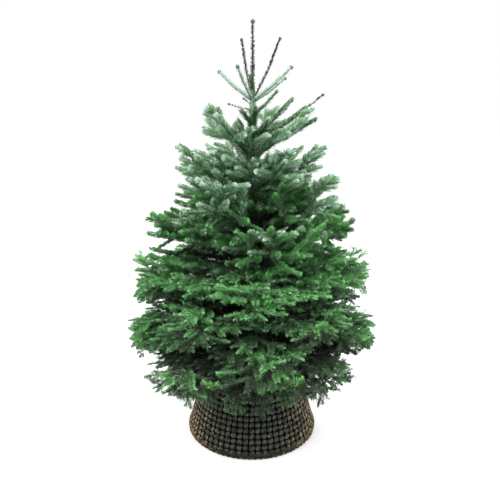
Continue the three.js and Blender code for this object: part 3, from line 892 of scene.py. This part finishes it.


# How bright a shoot is runs from about 0 inside the crown to 1 at its outside: painted shade inside the
# crown, and painted light at its outside. LIFTS are what a tier adds to it, up to a height of the tier's
# foot: painted shade darkens the lowest tiers under the crown, and the upper ones are brightened.
HIGH_FROM, HIGH_RISE = 0.75, 0.45  # heights over which the flat green crown turns to the pale top
LIFTS = [(0.5, -0.10), (0.7, -0.04), (0.9, 0.2), (9, 0.12)]
RIM_BRIGHT, RIM_OUTWARD, RIM_OLD = 0.29, 0.34, 0.24  # of the lowest tier, over the basket's rim: a base, painted light towards its outside, and darkening of older shoots
TINT_STEPS = [
    (0.22, ("shade", "shade")),
    (0.36, ("black", "black")),
    (0.50, ("black", "dark")),
    (0.64, ("dark", "deep")),
    (0.78, ("deep", "green")),
    (0.90, ("green", "fresh")),
    (9.00, ("fresh", "bright")),
]
TOP_STEPS = [
    (0.34, ("dim", "dim")),
    (0.50, ("dim", "dusk")),
    (0.66, ("dusk", "sage")),
    (0.82, ("sage", "light")),
    (1.00, ("sage", "pale")),
    (9.00, ("light", "silver")),
]


def tints_of(point, age, tier, draw):
    """A shoot's tints: dark inside the crown as painted shade, bright at its outside as painted light, and
    paler towards the top.
    """
    outward = spread_of(point) / tier["reach"]
    high = min(1, max(0, (point.z - HIGH_FROM) / HIGH_RISE))
    bright = mix(outward, 0.7 + 0.42 * outward, high) - mix(0.035, 0.065, high) * (age - 1)
    bright += mix(0.16, 0.34, high) * (next(draw) - 0.5)
    bright += next(lift for limit, lift in LIFTS if tier["height"] < limit)
    # Painted shade darkens shoots that hang under their tier's middle, and painted light brightens those over
    # it, in the flat tiers.
    over = point.z - tier_height(tier, spread_of(point))
    bright += min(0.1, max(-0.25, 3.5 * over)) * (1 - high)
    # The two lowest tiers, over the basket, get their own painted shade inside the crown and painted light
    # towards their outside.
    if tier is TIERS[0]:
        bright = RIM_BRIGHT + RIM_OUTWARD * outward - RIM_OLD * (age > 1) + 0.2 * (next(draw) - 0.5)
    elif tier is TIERS[1]:
        bright += 0.6 * (outward - 1)
    steps = TINT_STEPS
    if next(draw) < high**1.5:
        steps = TOP_STEPS
        bright -= 0.5 * (1 - high)
    return next(tints for limit, tints in steps if bright < limit)


def needles_of(point, age, tier, draw):
    """A shoot's needles: their length, their fullness, and how far and how flatly they stand out."""
    high = min(1, max(0, (point.z - 0.75) / 0.35))
    outward = spread_of(point) / tier["reach"]
    fullness = mix(0.85, 1.0, high) * (1.0 if age == 1 else 0.85 if age == 2 else 0.55)
    fullness *= 1.0 if outward > 0.6 else mix(0.7, 0.9, high)
    size = mix(0.018 if outward > 0.55 else 0.025, 0.028, high) * (0.92 + 0.16 * next(draw))
    return size, fullness, mix(52, 37, high) + 6 * (next(draw) - 0.5), mix(0.45, 1, high)


def grow(part, foot, heading, up, length, order, space, draw):
    """An axis of yearly shoots, with side axes at the end of each year but the last."""
    high = part >= LOOSE_FROM
    reach = space.tier["reach"]
    years = max(1, round(length / YEARS[high]))
    year = max(SHORTEST, length / years)
    for age in range(years, 0, -1):
        if age == 1 and spread_of(foot) > 0.7 * reach:
            heading = (heading - UP * HANGING[min(part, LOOSE_FROM)]).normalized()
        heading, step = space.fitted(foot, heading, year)
        if not step:
            return
        tip = foot + heading * step
        last = age == 1 or step < year * 0.9
        girth = (0.9 + 0.55 * age) * MM
        tints = tints_of(tip, age, space.tier, draw)
        add_shoot(part, foot, tip, up, tints, *needles_of(tip, age, space.tier, draw), girth)
        if last:
            add_tip(tip, heading, BUD_SIZE)
        left = (age - 1) * year * SIDE_SHARE
        roll = (26 if high else 12) * (next(draw) - 0.5)
        inside = not high and spread_of(tip) < 0.55 * reach
        most_orders = 3 if inside or part > LOOSE_FROM else 4
        for sign in (-1, 1) if order < most_orders and left > SHORTEST else ():
            turn = sign * (SIDE_ANGLE + 12 * (next(draw) - 0.5))
            tilt = sign * roll + 14 * (next(draw) - 0.4)
            side_length = left * (0.85 + 0.3 * next(draw))
            grow(part, tip, beside(heading, up, turn, tilt), up, side_length, order + 1, space, draw)
        if last:
            return
        for tilt in RISER_TILTS[high] if order < 2 else ():
            turn = 70 * (next(draw) - 0.5)
            rise = tilt * (0.7 + 0.5 * next(draw))
            grow(part, tip, beside(heading, up, turn, rise), up, YEARS[high] * 1.6, 3, space, draw)
        foot = tip
        heading = (heading + up * 0.07 * (next(draw) - 0.3)).normalized()


def grow_fan(level, index):
    tier = TIERS[level]
    sector, bearing, reach = fan_plan(level, index)
    reach *= SHORT_FANS.get((level, index), 1)
    draw = numbers_from(NEXT_SEED + 89 * level + 17 * index)
    next(draw)
    space = Space(level, index, sector)
    high = level >= LOOSE_FROM
    trunk_side = trunk_radius(tier["height"])
    start = max(tier["start"] * STEM_FROM, trunk_side + 1 * MM)
    outer = reach - TIP_ROOM
    years = max(2, round((outer - start) / YEARS[high]))
    marks = [mix(start, outer, year / years) for year in range(years + 1)]
    points = [polar(radius, bearing, tier_height(tier, radius)) for radius in marks]
    for age, foot, tip, low, mark in zip(range(years, 0, -1), points, points[1:], marks, marks[1:]):
        heading = (tip - foot).normalized()
        up = flat_up(heading)
        girth = mix(*STEM_RADII, low / reach)
        tints = tints_of(tip, age, tier, draw)
        add_shoot(level, foot, tip, up, tints, *needles_of(tip, age, tier, draw), girth)
        if age == 1:
            add_tip(tip, heading, STEM_BUD_SIZE)
            continue
        for sign in (-1, 1):
            turn = sign * (SIDE_ANGLE + 10 * (next(draw) - 0.5))
            length = max((outer - mark) * 0.95, STEM_SIDE_LEAST * reach) * (0.85 + 0.25 * next(draw))
            tilt = (24 if high else 12) * (next(draw) - 0.5)
            grow(level, tip, beside(heading, up, turn, tilt), up, length, 1, space, draw)
        for tilt in OPEN_RISER_TILTS if tier["open"] else STEM_RISER_TILTS[high]:
            turn = 80 * (next(draw) - 0.5)
            rise = tilt * (0.75 + 0.5 * next(draw))
            length = 0.1 * (1.4 + 1.2 * next(draw))
            grow(level, tip, beside(heading, up, turn, rise), up, length, 2, space, draw)
    # Twigs between the tiers leave the trunk itself and lean up.
    twigs = OPEN_TRUNK_TWIGS if tier["open"] else TRUNK_TWIGS[high]
    for number in range(twigs):
        height = tier["height"] + mix(*TRUNK_TWIG_RISES[high], (number + next(draw)) / twigs)
        turn = sector + space.half * 1.7 * (next(draw) - 0.5)
        rise = radians(min(56, tier["rise"] + 8 + 28 * next(draw)))
        heading = polar(cos(rise), turn, sin(rise))
        foot = trunk_point(height) + polar(trunk_radius(height) + 12 * MM, turn, 0)
        length = reach * (0.3 + 0.4 * next(draw))
        grow(level, foot, heading, flat_up(heading), length, 2, space, draw)


for level, tier in enumerate(TIERS):
    for index in range(tier["count"]):
        grow_fan(level, index)

# ---- Sprigs over the rim --------------------------------------------------------------
# Single sprigs of the lowest tier hang over the basket's rim, and over them shine two young
# ones that are still yellow-green. Each is a curved shoot with pairs of short side shoots.
HANGING_SPRIGS = [
    # tier, turn, the foot's radius and height, the tip's radius and height, tints at the tip
    (0, -132, 250, 345, 405, 262, ("green", "fresh")),
    (0, -119, 230, 350, 375, 284, ("deep", "green")),
    (0, -101, 220, 350, 366, 262, ("green", "fresh")),
    (0, -83, 220, 350, 360, 250, ("deep", "green")),
    (0, -66, 220, 350, 365, 280, ("green", "fresh")),
    (0, -46, 250, 345, 415, 274, ("deep", "green")),
    (1, -107, 400, 425, 530, 470, ("bright", "lime")),
    (1, -72.5, 400, 430, 530, 486, ("bright", "lime")),
]
YOUNG_FOOT_TINTS = ("deep", "green")
YOUNG_FROM_SHARE, YOUNG_SIDES_FROM = 0.4, 0.7  # a young sprig is yellow-green from here out
SPRIG_STEPS = 4
SPRIG_NEEDLES = (17 * MM, 0.9, 50, 0.45, 1.8 * MM)
SPRIG_SIDES = (0.42, 0.2)  # lengths of side shoots at a sprig's foot and tip, as shares of its own
SPRIG_SIDE_TURN, SPRIG_SIDE_TILT = 52, 6
for level, turn, foot_radius, foot_height, tip_radius, tip_height, tip_tints in HANGING_SPRIGS:
    bearing = radians(turn)
    foot = polar(foot_radius * MM, bearing, foot_height * MM)
    bend = polar(tip_radius * MM, bearing, foot_height * MM)
    tip = polar(tip_radius * MM, bearing, tip_height * MM)
    marks = [step / SPRIG_STEPS for step in range(SPRIG_STEPS + 1)]
    places = [foot.lerp(bend, mark).lerp(bend.lerp(tip, mark), mark) for mark in marks]
    across = polar(1, bearing - pi / 2, 0)
    for mark, low, end in zip(marks, places, places[1:]):
        heading = (end - low).normalized()
        up = across.cross(heading)
        tints = tip_tints if mark > YOUNG_FROM_SHARE or not level else YOUNG_FOOT_TINTS
        side_tints = tip_tints if mark > YOUNG_SIDES_FROM or not level else YOUNG_FOOT_TINTS
        add_shoot(level, low, end, up, tints, *SPRIG_NEEDLES)
        for sign in (-1, 1):
            way = beside(heading, up, sign * SPRIG_SIDE_TURN, SPRIG_SIDE_TILT)
            side_tip = low + way * (tip - foot).length * mix(*SPRIG_SIDES, mark)
            add_shoot(level, low, side_tip, up, side_tints, *SPRIG_NEEDLES)
            add_tip(side_tip, way, BUD_SIZE)
    add_tip(tip, heading, BUD_SIZE)

# ---- Leader and top whorl -------------------------------------------------------------
# Nearly bare shoots ring the leader's foot, and fuller ones stand under them, with one long
# branch to the right. The leader over them is thinly clad and ends in a cluster of fat buds.
TOP = len(TIERS)
TOP_SHOOTS = [
    # turn, foot's height over the leader's, length, rise, tints, needle length, fullness, girth
    (120, 0, 270, 70, ("dark", "dark"), 10, 0.8, 2.4),
    (20, 0, 280, 64.5, ("dark", "dark"), 10, 0.8, 2.4),
    (195, 0, 182, 40, ("silver", "silver"), 18, 0.9, 2.8),
    (245, 0, 190, 43, ("silver", "silver"), 17, 0.8, 2.8),
    (-35, 0, 225, 35, ("silver", "silver"), 19, 0.8, 2.8),
    (-10, -6, 167, 36, ("pale", "silver"), 14, 0.45, 2.6),
    (250, 20, 84, 74, ("green", "fresh"), 20, 1.0, 2.4),
    (188, -34, 102, 14, ("black", "pale"), 9, 0.16, 2.0),
    (200, -14, 48, 34, ("dark", "dark"), 8, 0.1, 1.8),
    (-20, -62, 145, 44, ("sage", "pale"), 17, 0.8, 2.4),
    (-70, -110, 90, 62, ("green", "fresh"), 25, 1.0, 2.8),
    (215, -100, 80, 48, ("green", "pale"), 25, 1.0, 2.8),
    (-3, -180, 357, 35.6, ("dark", "dim"), 11, 0.5, 2.2),
    (-3, -180, 262, 35.6, ("sage", "pale"), 23, 1.0, 3.2),
    (1, -150, 225, 44, ("green", "pale"), 25, 1.0, 3.0),
    (4, -210, 297, 27.5, ("green", "light"), 25, 1.0, 3.2),
    (-100, -160, 110, 58, ("green", "fresh"), 26, 1.0, 2.8),
    (-35, -170, 120, 50, ("green", "pale"), 26, 1.0, 2.8),
    (-150, -165, 110, 52, ("fresh", "pale"), 26, 1.0, 2.8),
    (80, -150, 110, 55, ("green", "fresh"), 26, 1.0, 2.8),
]
SHORT_NEEDLES = 12  # needles under this length, in millimetres, stand out wider
SHORT_SPREAD, LONG_SPREAD = 52, 33
LEADER_TINTS = ("dark", "deep")
LEADER_NEEDLES = (10 * MM, 0.4, 56, 1.0, 2.4 * MM)
LEADER_BUD, LEADER_BUD_BELOW = 7 * MM, 7 * MM
CLAD_TINTS = ("pale", "silver")  # of the trunk under the leader, which has needles of its own
CLAD_NEEDLES = (17 * MM, 0.8, 38, 1.0, 6 * MM)
CLAD_FROM, CLAD_TO = 1.3, LEADER_FOOT + 0.06
CLAD_SIDES = ((1, 0, 0), (-1, 0.6, 0), (-0.3, -1, 0))
CLUSTER = 4  # buds round a fat one
CLUSTER_OUT, CLUSTER_DOWN, CLUSTER_LEAN, CLUSTER_SIZE = 0.9, 0.4, 0.8, 0.75


def add_bud_cluster(place, heading, size):
    """A fat bud at a top shoot's end, and four round it."""
    aside = heading.orthogonal().normalized()
    add_tip(place, heading, size)
    for number in range(CLUSTER):
        out = aside if number % 2 else heading.cross(aside)
        out = out if number < 2 else -out
        foot = place + out * size * CLUSTER_OUT - heading * size * CLUSTER_DOWN
        add_tip(foot, (heading + out * CLUSTER_LEAN).normalized(), size * CLUSTER_SIZE)


for turn, raised, length, rise, tints, size, fullness, girth in TOP_SHOOTS:
    heading = polar(cos(radians(rise)), radians(turn), sin(radians(rise)))
    foot = trunk_point(LEADER_FOOT + raised * MM)
    tip = foot + heading * length * MM
    spread = SHORT_SPREAD if size < SHORT_NEEDLES else LONG_SPREAD
    add_shoot(TOP, foot, tip, flat_up(heading), tints, size * MM, fullness, spread, 1.0, girth * MM)
    add_bud_cluster(tip, heading, 2 * girth * MM)
leader_tip = trunk_point(TRUNK_TOP - LEADER_BUD_BELOW)
leader_up = Vector((0, 1, 0))
add_shoot(TOP, trunk_point(LEADER_FOOT), leader_tip, leader_up, LEADER_TINTS, *LEADER_NEEDLES)
for side in CLAD_SIDES:
    up = Vector(side).normalized()
    add_shoot(TOP, trunk_point(CLAD_FROM), trunk_point(CLAD_TO), up, CLAD_TINTS, *CLAD_NEEDLES)
add_bud_cluster(leader_tip, UP, LEADER_BUD)

# ---- Twig bark ------------------------------------------------------------------------
# All shoots are thin round twigs that taper to their tips. Those of the lower tiers have
# grey-brown bark, and the younger ones over them are still greenish.
TWIG_SIDES, TWIG_TAPER = 3, 0.28
OLD_TIERS = 4
SPINE_SAG = 0.03  # how far a shoot's middle hangs, as a share of its length


def spines_of(name, chosen):
    """A mesh of edges, two for each chosen shoot, that carries what its needles are made by."""
    picked = {label: np.array([shoots[label][i] for i in chosen]) for label in SHOOT_KEYS}
    feet, ends, ups = picked["foot"], picked["tip"], picked["up"]
    lengths = np.linalg.norm(ends - feet, axis=1, keepdims=True)
    places = np.stack([feet, mix(feet, ends, 0.5) - ups * lengths * SPINE_SAG, ends], axis=1)
    first = 3 * np.arange(len(chosen))
    edges = np.stack([first, first + 1, first + 1, first + 2], axis=1).reshape(-1, 2)
    marks = {label: picked[label] for label in SHOOT_KEYS[2:-1]}
    marks["heading"] = (ends - feet) / lengths
    marks = {label: np.repeat(values, 3, axis=0) for label, values in marks.items()}
    return holder_of(name, places.reshape(-1, 3), edges, **marks)


def twig_material(name, dark, light):
    graph = Surface(name)
    grain = graph.noise(graph.place(), 90.0, 3.0)
    return graph.finished(graph.mixed(grain, dark, light), 0.7)


old_twig_bark = twig_material("old_twig_bark", colour(46, 40, 32), colour(88, 80, 64))
young_twig_bark = twig_material("young_twig_bark", colour(30, 35, 28), colour(66, 72, 58))
parts = np.array(shoots["part"])
for name, chosen, bark in [
    ("twigs_lower", np.flatnonzero(parts < OLD_TIERS), old_twig_bark),
    ("twigs_upper", np.flatnonzero(parts >= OLD_TIERS), young_twig_bark),
]:
    spine = spines_of(name + "_spines", chosen)
    twigs = mesh_by(strand_tree(bark), spine, name, Sides=TWIG_SIDES, Taper=TWIG_TAPER)
    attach(twigs, "root")

# ---- Needles --------------------------------------------------------------------------
# Flat, blunt needles stand in spirals round every year's shoot, thinner under it than over
# it, and lean towards its tip. Each is a blade of four corners in one plain green; those
# under the shoot take a darker green as painted shade.
NEEDLE_PITCHES = {False: 1.0 * MM, True: 0.66 * MM}  # in the flat and in the loose tiers
NEEDLE_WIDTHS = {False: 3.7 * MM, True: 4.0 * MM}
NEEDLE_ROUGHNESS, NEEDLE_GLOSS = 0.45, 0.25
FOOT_TAPER = 0.6
SPIRAL = radians(137.5)
UNDER_SHARE = 0.4  # how far a needle under its shoot stands off, as a share of one over it
END_FROM, END_RISE, END_LEAST = 0.6, 2.2, 0.14  # where along a shoot its end tint takes over
UNDER_LIMIT, SHADED_SHARE = -0.45, 0.3  # needles that are one tint darker: those under their shoot as painted shade, and a random share of all


def needle_tree(materials):
    graph = Growth("needles", Pitch=1 * MM, Width=3 * MM, Seed=0)
    given = graph.given
    vector = graph.vector
    curve = graph.geometry("MeshToCurve", Mesh=given["Geometry"])
    curve = graph.geometry("ResampleCurve", {"mode": "LENGTH"}, Curve=curve, Length=given["Pitch"])
    heading = graph.attribute("heading", "FLOAT_VECTOR")
    up = graph.attribute("up", "FLOAT_VECTOR")
    along = graph.node("GeometryNodeSplineParameter")["Factor"]

    def chance(number, low=0.0, high=1.0):
        sockets = {2: low, 3: high, "Seed": given["Seed"] + number}
        return graph.node("FunctionNodeRandomValue", {"data_type": "FLOAT"}, sockets)[1]

    turn = graph.geometry("InputIndex") * SPIRAL + chance(1, 0.0, 0.7)
    side = vector("NORMALIZE", vector("CROSS_PRODUCT", heading, up))
    lift = vector("CROSS_PRODUCT", side, heading)
    sine = turn.maths("SINE")
    over = (sine.maths("MAXIMUM", sine * UNDER_SHARE) + 0.12) * graph.attribute("flat")
    sideways = vector("SCALE", side, scale=turn.maths("COSINE"))
    outward = vector("NORMALIZE", vector("ADD", sideways, vector("SCALE", lift, scale=over)))
    lean = graph.attribute("spread") * (1.2 - along * 0.5) * chance(2, 0.92, 1.08)
    forward = vector("SCALE", heading, scale=lean.maths("COSINE"))
    needle_way = vector("ADD", forward, vector("SCALE", outward, scale=lean.maths("SINE")))
    face_tip = vector("SCALE", heading, scale=lean.maths("SINE"))
    face_in = vector("SCALE", outward, scale=lean.maths("COSINE") * -1.0)
    face = vector("ADD", vector("ADD", face_tip, face_in), vector("SCALE", lift, scale=chance(3, 0.2, 1.2)))
    face = vector("ADD", face, vector("SCALE", side, scale=chance(4, -0.4, 0.4)))
    axes = {"primary_axis": "Y", "secondary_axis": "Z"}
    turned = graph.node("FunctionNodeAxesToRotation", axes, {0: needle_way, 1: face})[0]

    # The blade is narrower at its foot, and as wide and as long as 1 before it is scaled.
    needle = graph.geometry("MeshGrid", Size_X=1.0, Size_Y=1.0, Vertices_X=2, Vertices_Y=2)
    needle = graph.geometry("Transform", Geometry=needle, Translation=(0, 0.5, 0))
    place = graph.parts(graph.geometry("InputPosition"))
    inward = graph.joined(place["X"] * (place["Y"] - 1) * FOOT_TAPER)
    needle = graph.geometry("SetPosition", Geometry=needle, Offset=inward)

    swell = 1 - (along * 2 - 1) ** 4 * 0.35
    long = graph.attribute("size") * swell * chance(5, 0.92, 1.06)
    size = graph.joined(given["Width"] * chance(6, 0.85, 1.1), long, 1.0)
    at_end = chance(8) < ((along - END_FROM) * END_RISE).maths("MAXIMUM", END_LEAST)
    tints = {"False": graph.attribute("tint", "INT"), "True": graph.attribute("end_tint", "INT")}
    tint_here = graph.node("GeometryNodeSwitch", {"input_type": "INT"}, {"Switch": at_end, **tints})[0]
    # Needles under their shoot are one tint darker as painted shade, and a random share of the others are
    # too.
    below = (sine + chance(9, -0.5, 0.5)) < UNDER_LIMIT
    under = below.maths("MAXIMUM", chance(10) < SHADED_SHARE) * -1.0
    whole = {"data_type": "INT"}
    darker = (tint_here + under).maths("MAXIMUM")
    curve = graph.geometry("StoreNamedAttribute", whole, Geometry=curve, Name="tint", Value=darker)
    offset = vector("SCALE", outward, scale=graph.attribute("girth") * 0.7)
    curve = graph.geometry("SetPosition", Geometry=curve, Offset=offset)
    sockets = {"Points": curve, "Instance": needle, "Rotation": turned, "Scale": size}
    sockets["Selection"] = chance(7) < graph.attribute("fullness")
    made = graph.geometry("InstanceOnPoints", **sockets)
    made = graph.without(made, "heading", "up", "size", "fullness", "spread", "flat", "girth", "end_tint")
    made = graph.geometry("RealizeInstances", Geometry=made)
    tint = graph.attribute("tint", "INT")
    for number, material in enumerate(materials):
        settings = {"data_type": "INT", "operation": "EQUAL"}
        equal = graph.node("FunctionNodeCompare", settings, {2: tint, 3: number})[0]
        made = graph.geometry("SetMaterial", Geometry=made, Selection=equal, Material=material)
    graph.node("NodeGroupOutput", {}, {"Geometry": graph.without(made, "tint")})
    return graph.tree


greens = []
for name, base in TINTS.items():
    greens.append(Surface(f"needles_{name}").finished(base, NEEDLE_ROUGHNESS, NEEDLE_GLOSS))
spirals = needle_tree(greens)
for level in range(TOP + 1):
    name = f"needles_{level + 1}" if level < TOP else "needles_top"
    spine = spines_of(name + "_spines", np.flatnonzero(parts == level))
    high = level >= LOOSE_FROM
    needles = mesh_by(spirals, spine, name, Pitch=NEEDLE_PITCHES[high], Width=NEEDLE_WIDTHS[high], Seed=level)
    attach(needles, "root")
    if level < TOP:
        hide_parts(*[f"foliage_{level + 1}_{i + 1}" for i in range(TIERS[level]["count"])])
    else:
        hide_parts("top_whorl")

# ---- Buds -----------------------------------------------------------------------------
# Blunt winter buds of grey-brown scales close the outer shoots. They crowd at the ends of the
# leader and of the top whorl.
BUD_LENGTH = 1.5  # as a share of a bud's width
BUD_OUTWARD = 0.85  # buds are kept beyond this share of the crown's reach at their height
CROWN_FROM, CROWN_REACHES = 0.5, (0.52, 0.12)  # the crown's reach at this height and a metre over it
CROWN_LEAST = 0.1
ALL_BUDS_FROM = LEADER_FOOT - 0.05


def bud_tree(material):
    graph = Growth("buds", Length=BUD_LENGTH)
    bud = graph.geometry("MeshIcoSphere", Radius=1.0, Subdivisions=1)
    bud = graph.geometry("Transform", Geometry=bud, Scale=graph.joined(1.0, 1.0, graph.given["Length"]))
    heading = graph.attribute("heading", "FLOAT_VECTOR")
    turned = graph.node("FunctionNodeAlignRotationToVector", {"axis": "Z"}, {"Vector": heading})[0]
    spots = graph.geometry("MeshToPoints", Mesh=graph.given["Geometry"])
    sockets = {"Points": spots, "Instance": bud, "Rotation": turned, "Scale": graph.attribute("size")}
    made = graph.geometry("RealizeInstances", Geometry=graph.geometry("InstanceOnPoints", **sockets))
    return graph.finished(graph.without(made, "heading", "size"), material)


kept = []
for number, spot in enumerate(tips["place"]):
    widest = max(mix(*CROWN_REACHES, spot.z - CROWN_FROM), CROWN_LEAST)
    if spread_of(spot) > BUD_OUTWARD * widest or spot.z > ALL_BUDS_FROM:
        kept.append(number)
spots, headings, bud_sizes = [np.array([values[i] for i in kept]) for values in tips.values()]
bud_places = holder_of("bud_places", spots, [], heading=headings, size=bud_sizes)
bud_scales = Surface("bud_scales").finished(colour(86, 82, 78), 0.6)
buds = mesh_by(bud_tree(bud_scales), bud_places, "winter_buds", Length=BUD_LENGTH)
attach(buds, "root")
